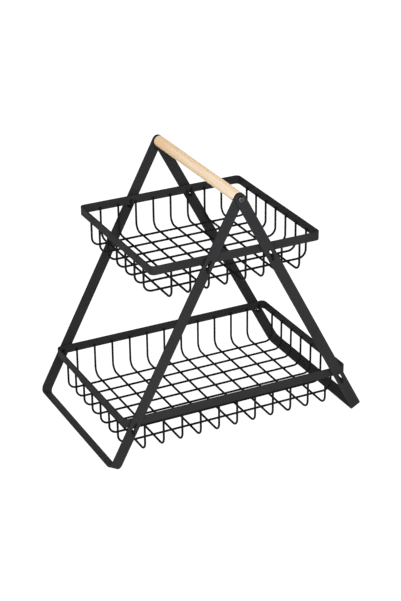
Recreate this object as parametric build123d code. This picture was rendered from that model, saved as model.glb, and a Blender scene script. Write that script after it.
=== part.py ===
from build123d import *
import math
import os

# Tiered wire basket: a stand of two crossed bar frames that carries a wooden handle
# at the top and two wire baskets, the smaller one above the larger one.
# Millimetres, +Z up, X along the baskets, Y from front to back (the front is -Y).
# The origin is on the floor, below the middle of the stand.

# Stand: each frame is one flat bar bent into a U, with two legs and a foot between them
frame_depth = 212.5        # outer face to outer face of the two legs of one frame
leg_length = 342.3         # from the pivot to the underside of the foot
leg_lean_deg = 27.9        # from upright
bar_width = 12.9
bar_thickness = 2.5
foot_bend_radius = 6.0     # inside radius of the two bends
bar_edge_round = 0.4

# Slots in the legs, which the baskets hook into
slot_length = 12.0
slot_width = 3.6
upper_slot_distance = 82.3     # from the pivot to the middle of the slot, along the leg
lower_slot_above_foot = 55.8   # from the underside of the foot to the middle of the slot

# Handle, with a threaded insert and a screw in each end
handle_diameter = 13.2
handle_end_chamfer = 0.8
insert_diameter = 6.0
insert_length = 12.0
insert_groove_width = 1.2
insert_groove_depth = 0.4
screw_diameter = 4.0
screw_length = 16.0
screw_head_diameter = 7.6
screw_head_height = 2.2
screw_head_round = 1.7
socket_width = 2.5             # across the flats
socket_depth = 1.3

# Rims of the baskets
rim_height = 10.6
rim_thickness = 2.0
rim_corner_radius = 6.0
rim_edge_round = 0.4
upper_rim_past_hook = 66.3     # from the middle of a hook to the end of the rim
lower_rim_past_hook = 8.6

# Wires of the baskets
wire_diameter = 2.6
wire_bend_radius = 10.0        # of the wire's middle line
wire_below_rim_top = 6.6       # from the top of the rim to the ends of the wires
upper_basket_drop = 44.8       # from the top of the rim to the middle line of the lowest wires
lower_basket_drop = 47.7
upper_cross_count = 8
lower_cross_count = 11
long_count = 7
upper_cross_margin = 25.8      # from the end of the rim to the first wire
lower_cross_margin = 25.9
upper_long_margin = 27.7       # from the front of the rim to the first wire
lower_long_margin = 28.4

# Wire hooks, welded inside the rims and turned down outside the legs
hook_weld_length = 6.5
hook_bend_radius = 2.0
hook_nose_drop = 3.8           # from the middle line of the hook in the slot to its tip

# Clearances
upper_basket_clearance = 2.0   # between the upper rim and the nearest leg
lower_basket_clearance = 0.3
hook_clearance = 0.5           # between a hook's nose and the leg
hook_seat_gap = 0.15           # between a hook and the end of its slot
handle_clearance = 0.1         # between the handle, or a screw's head, and the leg
screw_clearance = 0.1          # round the screw, in the legs
thread_clearance = 0.02        # round the screw in its insert, and round the insert
weld_gap = 0.02                # between a wire and what it is welded to
cut_overrun = 1.0

# Worked out from the sizes above
lean = math.radians(leg_lean_deg)
foot_edge_along = leg_length - bar_edge_round
foot_edge_across = bar_width / 2 - bar_edge_round
pivot_z = foot_edge_along * math.cos(lean) + foot_edge_across * math.sin(lean) + bar_edge_round
inner_gap = frame_depth - 3 * bar_thickness
wire_inset = rim_thickness + weld_gap + wire_diameter / 2
slot_end_offset = (slot_length - slot_width) / 2
lower_slot_distance = leg_length - lower_slot_above_foot
hook_play = (slot_width - wire_diameter) / 2 - hook_seat_gap

FRONT, BACK = -1, 1
LEFT, RIGHT = -1, 1
# The right frame's legs lie one thickness further forward than the left frame's
FRAME_SHIFT = {LEFT: bar_thickness / 2, RIGHT: -bar_thickness / 2}


def on_leg(side, distance):
    """Point on a leg's middle line, as x and z, at a distance from the pivot."""
    return side * distance * math.sin(lean), pivot_z - distance * math.cos(lean)


def leg_outer_face(side, end):
    """How far the outer face of a leg lies from the middle plane of the stand."""
    return frame_depth / 2 + end * FRAME_SHIFT[side]


def u_outline(width, top, bottom, corner_radius):
    """Upright rectangle below the line at the top, with two round corners at the bottom."""
    half = width / 2
    walls = FilletPolyline((-half, top), (-half, -bottom), (half, -bottom), (half, top),
                           radius=corner_radius)
    return make_face(Curve() + [walls, Line((half, top), (-half, top))])


# Frames

def bar_frame(side):
    """One flat bar bent into a U, with round leg ends, a pivot hole and two slots in each leg."""
    # Here X is the depth, Y runs up the leg from the pivot and Z is across the bar
    leg_top = bar_width / 2
    bend = foot_bend_radius + bar_thickness
    outer = u_outline(frame_depth, leg_top, leg_length, bend)
    inner = u_outline(frame_depth - 2 * bar_thickness, leg_top + cut_overrun,
                      leg_length - bar_thickness, foot_bend_radius)
    bar = extrude(outer - inner, bar_width / 2, both=True)

    across = Plane(origin=(0, 0, 0), x_dir=(0, 0, 1), z_dir=(-1, 0, 0))
    reach = leg_length + cut_overrun
    outline = Circle(bar_width / 2) + Pos(0, -reach / 2) * Rectangle(bar_width, reach)
    bar = bar & extrude(across * outline, frame_depth, both=True)

    side_edges = [e for e in bar.edges()
                  if abs(abs(e.center().Z) - bar_width / 2) < bar_edge_round / 2
                  and e.bounding_box().size.Z < bar_edge_round]
    end_edges = [e for e in bar.edges().filter_by(GeomType.CIRCLE)
                 if e.center().Y > 0 and e.bounding_box().size.X < bar_edge_round]
    bar = fillet(side_edges + end_edges, bar_edge_round)

    holes = Circle(screw_diameter / 2 + screw_clearance)
    for distance in (upper_slot_distance, lower_slot_distance):
        holes += Pos(0, -distance) * SlotOverall(slot_length, slot_width, rotation=90)
    bar = bar - extrude(across * holes, frame_depth, both=True)

    place = Plane(origin=(0, FRAME_SHIFT[side], pivot_z), x_dir=(0, 1, 0),
                  z_dir=(math.cos(lean), 0, side * math.sin(lean)))
    return place.location * bar


# Handle

def handle():
    """Round dowel between the innermost legs, bored at both ends for the inserts."""
    length = inner_gap - 2 * handle_clearance
    dowel = Cylinder(handle_diameter / 2, length)
    dowel = chamfer(dowel.edges().filter_by(GeomType.CIRCLE), handle_end_chamfer)
    bore_depth = insert_length + thread_clearance
    bore = Cylinder(insert_diameter / 2 + thread_clearance, bore_depth)
    shank_depth = screw_length + cut_overrun
    pilot = Cylinder(screw_diameter / 2 + thread_clearance, shank_depth)
    for end in (FRONT, BACK):
        dowel -= Pos(0, 0, end * (length - bore_depth) / 2) * bore
        dowel -= Pos(0, 0, end * (length - shank_depth) / 2) * pilot
    return Pos(0, 0, pivot_z) * Rot(90, 0, 0) * dowel


def along_handle(end, distance):
    """Place on the handle's axis, facing outward, at a distance from the middle plane."""
    return Location(Plane(origin=(0, end * distance, pivot_z), x_dir=(1, 0, 0), z_dir=(0, end, 0)))


def handle_insert(end):
    """Grooved brass sleeve that ends flush with the handle's end."""
    sleeve = Cylinder(insert_diameter / 2, insert_length)
    groove = Cylinder(insert_diameter / 2 + cut_overrun, insert_groove_width)
    groove -= Cylinder(insert_diameter / 2 - insert_groove_depth, insert_groove_width)
    for share in (-1, 1):
        sleeve -= Pos(0, 0, share * insert_length / 6) * groove
    sleeve -= Cylinder(screw_diameter / 2 + thread_clearance, insert_length + 2 * cut_overrun)
    middle = inner_gap / 2 - handle_clearance - insert_length / 2
    return along_handle(end, middle) * sleeve


def handle_screw(end):
    """Button-head screw with a hexagon socket, through both legs into the insert."""
    head = Cylinder(screw_head_diameter / 2, screw_head_height,
                    align=(Align.CENTER, Align.CENTER, Align.MIN))
    head = fillet(head.edges().sort_by(Axis.Z)[-1], screw_head_round)
    socket = RegularPolygon(socket_width / 2, 6, major_radius=False)
    depth = socket_depth + cut_overrun
    head -= extrude(Pos(0, 0, screw_head_height - socket_depth) * socket, depth)
    shank = Cylinder(screw_diameter / 2, screw_length,
                     align=(Align.CENTER, Align.CENTER, Align.MAX))
    seat = inner_gap / 2 + 2 * bar_thickness + handle_clearance
    return along_handle(end, seat) * (head + shank)


# Baskets

def bent_wire(points, bend_radius):
    """Round wire along straight runs joined by equal bends."""
    path = FilletPolyline(*points, radius=bend_radius)
    section = Plane(origin=path @ 0, z_dir=path % 0) * Circle(wire_diameter / 2)
    return sweep(section, path=path)


def basket_rim(length, depth, bottom_z):
    """Flat bar on edge, bent into a ring with round corners."""
    ring = RectangleRounded(length, depth, rim_corner_radius)
    ring -= RectangleRounded(length - 2 * rim_thickness, depth - 2 * rim_thickness,
                             rim_corner_radius - rim_thickness)
    rim = extrude(ring, rim_height)
    level_edges = [e for e in rim.edges() if e.bounding_box().size.Z < rim_edge_round]
    rim = fillet(level_edges, rim_edge_round)
    return Pos(0, 0, bottom_z) * rim


def cross_wire(x, rim_depth, top_z, bottom_z):
    """Wire from the front of the rim, under the basket, to the back of the rim."""
    half = rim_depth / 2 - wire_inset
    return bent_wire([(x, -half, top_z), (x, -half, bottom_z),
                      (x, half, bottom_z), (x, half, top_z)], wire_bend_radius)


def long_wire(y, rim_length, top_z, bottom_z):
    """Wire from one end of the rim, over the cross wires, to the other end."""
    half = rim_length / 2 - wire_inset
    return bent_wire([(-half, y, top_z), (-half, y, bottom_z),
                      (half, y, bottom_z), (half, y, top_z)], wire_bend_radius)


def hook(side, end, slot_distance, rim_depth, rim_bottom_z):
    """Wire hook at one leg: down inside the rim, out through the slot and down again."""
    x, slot_end_z = on_leg(side, slot_distance + slot_end_offset)
    seat_z = slot_end_z - hook_play
    inside_y = end * (rim_depth / 2 - wire_inset)
    outside_y = end * (leg_outer_face(side, end) + hook_clearance + wire_diameter / 2)
    return bent_wire([(x, inside_y, rim_bottom_z + hook_weld_length), (x, inside_y, seat_z),
                      (x, outside_y, seat_z), (x, outside_y, seat_z - hook_nose_drop)],
                     hook_bend_radius)


def spread(count, width, margin):
    """Evenly spaced places, the first and the last a margin inside the width."""
    pitch = (width - 2 * margin) / (count - 1)
    return [margin - width / 2 + i * pitch for i in range(count)]


def basket(name, slot_distance, past_hook, clearance, drop, cross_count, cross_margin, long_margin):
    """All pieces of one basket, by name."""
    hook_x, _ = on_leg(RIGHT, slot_distance + slot_end_offset)
    _, rim_bottom_z = on_leg(RIGHT, slot_distance)
    rim_length = 2 * (hook_x + past_hook)
    rim_depth = inner_gap - 2 * clearance
    rim_top_z = rim_bottom_z + rim_height
    wire_top_z = rim_top_z - wire_below_rim_top
    cross_z = rim_top_z - drop
    long_z = cross_z + wire_diameter + weld_gap
    pieces = {f"{name}_rim": basket_rim(rim_length, rim_depth, rim_bottom_z)}
    for i, x in enumerate(spread(cross_count, rim_length, cross_margin), start=1):
        pieces[f"{name}_cross_wire_{i:02d}"] = cross_wire(x, rim_depth, wire_top_z, cross_z)
    for i, y in enumerate(spread(long_count, rim_depth, long_margin), start=1):
        pieces[f"{name}_long_wire_{i}"] = long_wire(y, rim_length, wire_top_z, long_z)
    for end, end_name in ((FRONT, "front"), (BACK, "back")):
        for side, side_name in ((LEFT, "left"), (RIGHT, "right")):
            pieces[f"{name}_hook_{end_name}_{side_name}"] = hook(side, end, slot_distance,
                                                                rim_depth, rim_bottom_z)
    return pieces


# The whole object

parts = {
    "left_frame": bar_frame(LEFT),
    "right_frame": bar_frame(RIGHT),
    "handle": handle(),
    "handle_insert_front": handle_insert(FRONT),
    "handle_insert_back": handle_insert(BACK),
    "handle_screw_front": handle_screw(FRONT),
    "handle_screw_back": handle_screw(BACK),
}
parts.update(basket("upper_basket", upper_slot_distance, upper_rim_past_hook,
                    upper_basket_clearance, upper_basket_drop, upper_cross_count,
                    upper_cross_margin, upper_long_margin))
parts.update(basket("lower_basket", lower_slot_distance, lower_rim_past_hook,
                    lower_basket_clearance, lower_basket_drop, lower_cross_count,
                    lower_cross_margin, lower_long_margin))

os.makedirs("parts", exist_ok=True)
for name, shape in parts.items():
    export_step(shape, f"parts/{name}.step")
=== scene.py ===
import math
import random

import bmesh
import bpy
from mathutils import Matrix, Vector

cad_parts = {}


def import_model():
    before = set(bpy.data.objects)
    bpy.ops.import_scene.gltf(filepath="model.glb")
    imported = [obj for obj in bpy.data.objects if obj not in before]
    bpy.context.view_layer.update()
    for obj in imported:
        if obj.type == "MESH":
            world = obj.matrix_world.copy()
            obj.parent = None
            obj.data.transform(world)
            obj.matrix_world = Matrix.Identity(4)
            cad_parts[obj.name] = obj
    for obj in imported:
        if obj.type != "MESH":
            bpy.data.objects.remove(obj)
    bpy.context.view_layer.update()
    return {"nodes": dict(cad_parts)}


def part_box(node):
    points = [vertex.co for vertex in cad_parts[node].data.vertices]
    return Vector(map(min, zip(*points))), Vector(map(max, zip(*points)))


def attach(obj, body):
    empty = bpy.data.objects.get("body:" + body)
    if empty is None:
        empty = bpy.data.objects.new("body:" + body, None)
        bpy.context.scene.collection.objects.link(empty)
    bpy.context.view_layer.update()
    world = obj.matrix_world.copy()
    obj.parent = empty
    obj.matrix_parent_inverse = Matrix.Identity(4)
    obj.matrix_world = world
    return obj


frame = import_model()
nodes = frame["nodes"]

MM = 0.001

# Camera, as fitted to the picture: a plain lens that looks near the object's middle
CAMERA_AZIMUTH_DEG = -26.334
CAMERA_ELEVATION_DEG = 25.618
CAMERA_ROLL_DEG = -0.603
CAMERA_DISTANCE = 1.9758
CAMERA_TARGET = Vector((0.0027, 0.0, 0.1364))
FOCAL_LENGTH_PX = 1660.1
PICTURE_HEIGHT_PX = 601
SENSOR_MM = 36.0

# Lamps and world
KEY_DIRECTION = Vector((-0.34, -0.80, 0.45))
KEY_DISTANCE = 1.1
KEY_SIZE = 0.7
KEY_LEVEL = 0.73           # a white card square to the key renders at this level
FILL_DIRECTION = Vector((0.8, -0.5, 0.9))
FILL_DISTANCE = 1.6
FILL_SIZE = 1.0
FILL_LEVEL = 0.12
AMBIENT_LEVEL = 0.58
SKY_LEVEL = 0.06           # of the reflected sky straight above
HORIZON_HEIGHT = 0.02      # up to this height, as a sine, the reflected sky is white
SKY_HEIGHT = 0.40          # above this one it has the sky's level
WHITE = (1.0, 1.0, 1.0, 1.0)

# Floor
FLOOR_SIZE = 12.0
FLOOR_GAP = 0.1 * MM       # below the object's lowest point
FLOOR_COLOR = (0.8, 0.8, 0.8, 1.0)
FLOOR_GLOW = 1.03
FLOOR_GLOW_SHARE = 0.85    # the rest of what the camera sees is matte and keeps the shadow

# Powder coat
STAND_COLORS = ((0.0214, 0.0217, 0.0229), (0.0265, 0.0269, 0.0282))
RIM_COLORS = ((0.0214, 0.0214, 0.0221), (0.0265, 0.0265, 0.0272))
# The wires' colours are the rim's black paint made about three times darker: painted shade on the
# thin wires
WIRE_SHADED_COLORS = ((0.007, 0.007, 0.0075), (0.010, 0.010, 0.0105))
STAND_GRAIN = 900.0
BASKET_GRAIN = 1100.0
CLOUD_SCALE = 14.0
TOUCH_SCALE = 35.0
TOUCH_ROUGHNESS = 0.05     # rougher or smoother by up to this where it was touched
DUST_SCALE = 1.7           # times the grain's scale
DUST_RANGE = (0.66, 0.8)
DUST_SHARE = 0.5
DUST_PALENESS = 3.0        # times the coat's lighter colour
COAT_ROUGHNESS = (0.56, 0.68)
COAT_SPECULAR = 0.05
COAT_BUMP = 0.02 * MM

# Wood, with its grain along Y
BAND_SCALE = (150.0, 5.0, 150.0)
BAND_STOPS = ((0.36, (0.93, 0.63, 0.365)), (0.50, (0.95, 0.71, 0.465)),
              (0.62, (0.96, 0.81, 0.62)))
STREAK_SCALE = (520.0, 9.0, 520.0)
STREAK_COLOR = (0.84, 0.56, 0.32, 1.0)
STREAK_RANGE = (0.46, 0.70)
STREAK_SHARE = 0.34
FLECK_SCALE = (2400.0, 300.0, 2400.0)
FLECK_COLOR = (0.50, 0.31, 0.16, 1.0)
FLECK_RANGE = (0.66, 0.76)
FLECK_SHARE = 0.14
WOOD_ROUGHNESS = (0.50, 0.62)
WOOD_SPECULAR = 0.3
WOOD_BUMP = 0.012 * MM

# Bare metal, turned about Y
SCREW_COLORS = ((0.07, 0.07, 0.07), (0.11, 0.11, 0.11))
SCREW_ROUGHNESS = 0.17
INSERT_COLORS = ((0.60, 0.42, 0.16), (0.78, 0.60, 0.28))
INSERT_ROUGHNESS = 0.32
MARK_SCALE = (600.0, 9000.0, 600.0)
MARK_SMOOTHER = 0.05       # below the metal's own roughness
MARK_ROUGHER = 0.08        # above it
STAIN_SCALE = 500.0
METAL_BUMP = 0.004 * MM

# Noise
NOISE_ROUGHNESS = 0.55
NOISE_MIDDLE = (0.35, 0.65)    # a change across this part of a noise's values is soft

# Sockets of a colour mix, which shares their names with the other kinds of mix
MIX_FACTOR, MIX_FIRST, MIX_SECOND, MIX_RESULT = 0, 6, 7, 2

# Weld beads
WELD_SUBDIVISIONS = 2
WELD_UNEVENNESS = 0.08
WELD_WAVES = (3.0, 2.0)        # radians per half width and per half height of a bead
WELD_HEIGHT_SHARE = 0.92       # of the length that a wire overlaps the rim
WELD_SPREAD = 0.55 * MM        # past each side of the wire
WELD_DEPTH = 0.7 * MM
WELD_CROSSING = 1.15 * MM
WELD_CROSSING_HEIGHT = 0.55 * MM


# Node trees

class Tree:
    """Node tree of a material or world, with short calls to add and join nodes."""

    def __init__(self, owner):
        owner.use_nodes = True
        self.nodes = owner.node_tree.nodes
        self.links = owner.node_tree.links

    def feed(self, socket, value):
        """Links an output to a socket, or sets the socket to a constant."""
        if isinstance(value, bpy.types.NodeSocket):
            self.links.new(value, socket)
        else:
            socket.default_value = value

    def add(self, kind, inputs=None, **settings):
        """Adds a node with its settings, and feeds its inputs."""
        node = self.nodes.new(kind)
        for key, value in settings.items():
            setattr(node, key, value)
        for key, value in (inputs or {}).items():
            self.feed(node.inputs[key], value)
        return node

    def math(self, operation, first, second):
        return self.add("ShaderNodeMath", {0: first, 1: second}, operation=operation).outputs[0]

    def spread(self, value, low, high, span=(0.0, 1.0), **settings):
        """Maps a value from the span to low..high."""
        return self.add("ShaderNodeMapRange", {
            "From Min": span[0], "From Max": span[1], "To Min": low, "To Max": high,
            "Value": value}, **settings).outputs["Result"]


class Finish(Tree):
    """Material of a surface, patterned by noise in the object's coordinates."""

    def __init__(self, name):
        self.material = bpy.data.materials.new(name)
        super().__init__(self.material)
        self.inputs = self.nodes["Principled BSDF"].inputs
        self.coords = self.add("ShaderNodeTexCoord").outputs["Object"]

    def noise(self, scale, detail):
        """Noise of one scale, or of one scale along each axis."""
        vector = self.coords
        if isinstance(scale, tuple):
            mapping = self.add("ShaderNodeMapping", {"Scale": scale, "Vector": vector})
            vector = mapping.outputs["Vector"]
            scale = 1.0
        return self.add("ShaderNodeTexNoise", {
            "Scale": scale, "Detail": detail, "Roughness": NOISE_ROUGHNESS,
            "Vector": vector}).outputs["Fac"]

    def ramp(self, value, stops):
        """Colour ramp through (place, colour) stops."""
        node = self.add("ShaderNodeValToRGB", {"Fac": value})
        elements = node.color_ramp.elements
        while len(elements) < len(stops):
            elements.new(0.5)
        for element, (place, color) in zip(elements, stops):
            element.position = place
            element.color = (*color, 1.0)
        return node.outputs["Color"]

    def mix(self, factor, first, second):
        node = self.add("ShaderNodeMix", {
            MIX_FACTOR: factor, MIX_FIRST: first, MIX_SECOND: second}, data_type="RGBA")
        return node.outputs[MIX_RESULT]

    def bump(self, height, distance):
        return self.add("ShaderNodeBump", {
            "Strength": 1.0, "Distance": distance, "Height": height}).outputs["Normal"]


def powder_coat(name, colors, grain):
    """Satin black powder coat: a fine grain, faint clouds where it was touched, and pale dust."""
    coat = Finish(name)
    base = coat.ramp(coat.noise(CLOUD_SCALE, detail=4.0), tuple(zip(NOISE_MIDDLE, colors)))
    dust = coat.spread(coat.noise(DUST_SCALE * grain, detail=1.0), 0.0, DUST_SHARE, DUST_RANGE)
    pale = tuple(DUST_PALENESS * part for part in colors[1])
    touched = coat.spread(coat.noise(TOUCH_SCALE, detail=3.0),
                          -TOUCH_ROUGHNESS, TOUCH_ROUGHNESS, NOISE_MIDDLE)
    grains = coat.noise(grain, detail=2.0)
    coat.feed(coat.inputs["Base Color"], coat.mix(dust, base, (*pale, 1.0)))
    coat.feed(coat.inputs["Roughness"],
              coat.math("ADD", coat.spread(grains, *COAT_ROUGHNESS), touched))
    coat.feed(coat.inputs["Specular IOR Level"], COAT_SPECULAR)
    coat.feed(coat.inputs["Normal"], coat.bump(grains, COAT_BUMP))
    return coat.material


def pale_wood(name):
    """Pale sanded wood: soft bands, fine streaks and short dark flecks."""
    wood = Finish(name)
    streak = wood.noise(STREAK_SCALE, detail=2.0)
    fleck = wood.noise(FLECK_SCALE, detail=1.0)
    base = wood.ramp(wood.noise(BAND_SCALE, detail=2.0), BAND_STOPS)
    base = wood.mix(wood.spread(streak, 0.0, STREAK_SHARE, STREAK_RANGE), base, STREAK_COLOR)
    base = wood.mix(wood.spread(fleck, 0.0, FLECK_SHARE, FLECK_RANGE), base, FLECK_COLOR)
    wood.feed(wood.inputs["Base Color"], base)
    wood.feed(wood.inputs["Roughness"], wood.spread(streak, *WOOD_ROUGHNESS))
    wood.feed(wood.inputs["Specular IOR Level"], WOOD_SPECULAR)
    wood.feed(wood.inputs["Normal"], wood.bump(streak, WOOD_BUMP))
    return wood.material


def turned_metal(name, colors, roughness):
    """Bare metal with fine tool marks and faint stains."""
    metal = Finish(name)
    marks = metal.noise(MARK_SCALE, detail=3.0)
    stain = metal.noise(STAIN_SCALE, detail=3.0)
    metal.feed(metal.inputs["Base Color"], metal.ramp(stain, tuple(zip(NOISE_MIDDLE, colors))))
    metal.feed(metal.inputs["Metallic"], 1.0)
    metal.feed(metal.inputs["Roughness"],
               metal.spread(marks, roughness - MARK_SMOOTHER, roughness + MARK_ROUGHER))
    metal.feed(metal.inputs["Normal"], metal.bump(marks, METAL_BUMP))
    return metal.material


# Materials of the nodes

stand_coat = powder_coat("stand_coat", STAND_COLORS, STAND_GRAIN)
rim_coat = powder_coat("rim_coat", RIM_COLORS, BASKET_GRAIN)
# the wires get a darker copy of the same paint as the rim: painted shade
wire_coat = powder_coat("wire_coat", WIRE_SHADED_COLORS, BASKET_GRAIN)
handle_wood = pale_wood("handle_wood")
screw_steel = turned_metal("screw_steel", SCREW_COLORS, SCREW_ROUGHNESS)
insert_brass = turned_metal("insert_brass", INSERT_COLORS, INSERT_ROUGHNESS)


def finish_of(name):
    if name.startswith("handle_screw"):
        return screw_steel
    if name.startswith("handle_insert"):
        return insert_brass
    if name == "handle":
        return handle_wood
    if name.endswith("_frame"):
        return stand_coat
    if name.endswith("_rim"):
        return rim_coat
    return wire_coat


for name, node in nodes.items():
    node.data.materials.clear()
    node.data.materials.append(finish_of(name))


# Welds

def bead(mesh, center, half, turn):
    """Small weld bead: a squashed ball, a little uneven, half sunk in what it joins."""
    ball = bmesh.ops.create_icosphere(mesh, subdivisions=WELD_SUBDIVISIONS, radius=1.0)
    for vertex in ball["verts"]:
        x, y, z = vertex.co
        wave = math.sin(WELD_WAVES[0] * x + turn) * math.cos(WELD_WAVES[1] * z - turn)
        swell = 1.0 + WELD_UNEVENNESS * wave
        vertex.co = Vector((x * half.x, y * half.y, z * half.z)) * swell + center


def boxes(prefix):
    return [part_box(name) for name in nodes if name.startswith(prefix)]


def basket_welds(name):
    """Beads where the basket's wires and hooks meet the rim, and where its wires cross."""
    draw = random.Random(name)
    mesh = bmesh.new()
    cross_wires = boxes(f"{name}_cross_wire")
    long_wires = boxes(f"{name}_long_wire")
    hooks = boxes(f"{name}_hook")
    rim_low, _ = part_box(f"{name}_rim")
    radius = (cross_wires[0][1].x - cross_wires[0][0].x) / 2

    def at_rim(x, y, top, wall_along_x):
        """Bead behind an upright wire, on the inner face of the rim."""
        height = (top - rim_low.z) * WELD_HEIGHT_SHARE / 2
        half = Vector((radius + WELD_SPREAD, WELD_DEPTH, height))
        if not wall_along_x:
            half = Vector((half.y, half.x, half.z))
        center = Vector((x, y, (top + rim_low.z) / 2))
        bead(mesh, center, half, draw.uniform(0.0, math.tau))

    for low, high in cross_wires:
        for y in (low.y, high.y):
            at_rim((low.x + high.x) / 2, y, high.z, wall_along_x=True)
    for low, high in long_wires:
        for x in (low.x, high.x):
            at_rim(x, (low.y + high.y) / 2, high.z, wall_along_x=False)
    for low, high in hooks:
        inner_y = low.y if abs(low.y) < abs(high.y) else high.y
        inner_y += math.copysign(2 * radius, inner_y)
        at_rim((low.x + high.x) / 2, inner_y, high.z, wall_along_x=True)
    for low, high in cross_wires:
        for long_low, long_high in long_wires:
            center = Vector(((low.x + high.x) / 2, (long_low.y + long_high.y) / 2, long_low.z))
            half = Vector((WELD_CROSSING, WELD_CROSSING, WELD_CROSSING_HEIGHT))
            bead(mesh, center, half, draw.uniform(0.0, math.tau))
    for face in mesh.faces:
        face.smooth = True
    data = bpy.data.meshes.new(f"{name}_welds")
    mesh.to_mesh(data)
    mesh.free()
    data.materials.append(wire_coat)
    piece = bpy.data.objects.new(f"{name}_welds", data)
    bpy.context.collection.objects.link(piece)
    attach(piece, name)


for basket_name in ("upper_basket", "lower_basket"):
    basket_welds(basket_name)


# Floor, world, lamps and camera

def floor():
    """Pale floor that glows white to the camera and keeps a faint shadow."""
    bpy.ops.mesh.primitive_plane_add(size=FLOOR_SIZE, location=(0.0, 0.0, -FLOOR_GAP))
    plane = bpy.context.object
    plane.name = "floor"
    material = bpy.data.materials.new("floor_white")
    tree = Tree(material)
    tree.nodes.clear()
    path = tree.add("ShaderNodeLightPath").outputs
    seen = tree.math("MAXIMUM", path["Is Camera Ray"], path["Is Glossy Ray"])
    seen = tree.math("MAXIMUM", seen, path["Is Transmission Ray"])
    matte = tree.add("ShaderNodeBsdfDiffuse", {"Color": FLOOR_COLOR})
    glow = tree.add("ShaderNodeEmission", {"Strength": FLOOR_GLOW / FLOOR_GLOW_SHARE})
    both = tree.add("ShaderNodeMixShader", {
        0: tree.math("MULTIPLY", seen, FLOOR_GLOW_SHARE),
        1: matte.outputs[0], 2: glow.outputs[0]})
    tree.add("ShaderNodeOutputMaterial", {"Surface": both.outputs[0]})
    plane.data.materials.append(material)


def world():
    """White to the camera, white low down in reflections, and an even light on the object."""
    studio = bpy.data.worlds.new("studio")
    bpy.context.scene.world = studio
    tree = Tree(studio)
    path = tree.add("ShaderNodeLightPath").outputs
    coords = tree.add("ShaderNodeTexCoord").outputs["Generated"]
    height = tree.add("ShaderNodeSeparateXYZ", {0: coords}).outputs["Z"]
    sky = tree.spread(height, 1.0, SKY_LEVEL, (HORIZON_HEIGHT, SKY_HEIGHT),
                      interpolation_type="SMOOTHSTEP")
    reflected = tree.add("ShaderNodeMix", {"Factor": path["Is Glossy Ray"], "A": 1.0, "B": sky})
    lit = tree.add("ShaderNodeMix", {
        "Factor": path["Is Diffuse Ray"], "A": reflected.outputs["Result"], "B": AMBIENT_LEVEL})
    background = tree.nodes["Background"]
    tree.feed(background.inputs["Color"], WHITE)
    tree.feed(background.inputs["Strength"], lit.outputs["Result"])


def area_light(name, direction, distance, size, level):
    """Square lamp that faces the object and lights a white card there to the level."""
    data = bpy.data.lights.new(name, "AREA")
    data.shape = "SQUARE"
    data.size = size
    data.energy = level * math.pi ** 2 * distance ** 2
    lamp = bpy.data.objects.new(name, data)
    bpy.context.collection.objects.link(lamp)
    place = direction.normalized() * distance
    lamp.location = CAMERA_TARGET + place
    lamp.rotation_euler = place.to_track_quat("Z", "Y").to_euler()


def camera():
    azimuth = math.radians(CAMERA_AZIMUTH_DEG)
    elevation = math.radians(CAMERA_ELEVATION_DEG)
    roll = math.radians(CAMERA_ROLL_DEG)
    back = Vector((math.sin(azimuth) * math.cos(elevation),
                   -math.cos(azimuth) * math.cos(elevation), math.sin(elevation)))
    level_right = (-back).cross(Vector((0.0, 0.0, 1.0))).normalized()
    level_up = level_right.cross(-back)
    right = level_right * math.cos(roll) + level_up * math.sin(roll)
    up = level_up * math.cos(roll) - level_right * math.sin(roll)
    data = bpy.data.cameras.new("camera")
    data.sensor_fit = "VERTICAL"
    data.sensor_height = SENSOR_MM
    data.lens = FOCAL_LENGTH_PX * SENSOR_MM / PICTURE_HEIGHT_PX
    view = bpy.data.objects.new("camera", data)
    bpy.context.collection.objects.link(view)
    turn = Matrix((right, up, back)).transposed().to_4x4()
    view.matrix_world = Matrix.Translation(CAMERA_TARGET + back * CAMERA_DISTANCE) @ turn
    bpy.context.scene.camera = view


floor()
world()
area_light("key", KEY_DIRECTION, KEY_DISTANCE, KEY_SIZE, KEY_LEVEL)
area_light("fill", FILL_DIRECTION, FILL_DISTANCE, FILL_SIZE, FILL_LEVEL)
camera()
bpy.context.scene.view_settings.view_transform = "Standard"
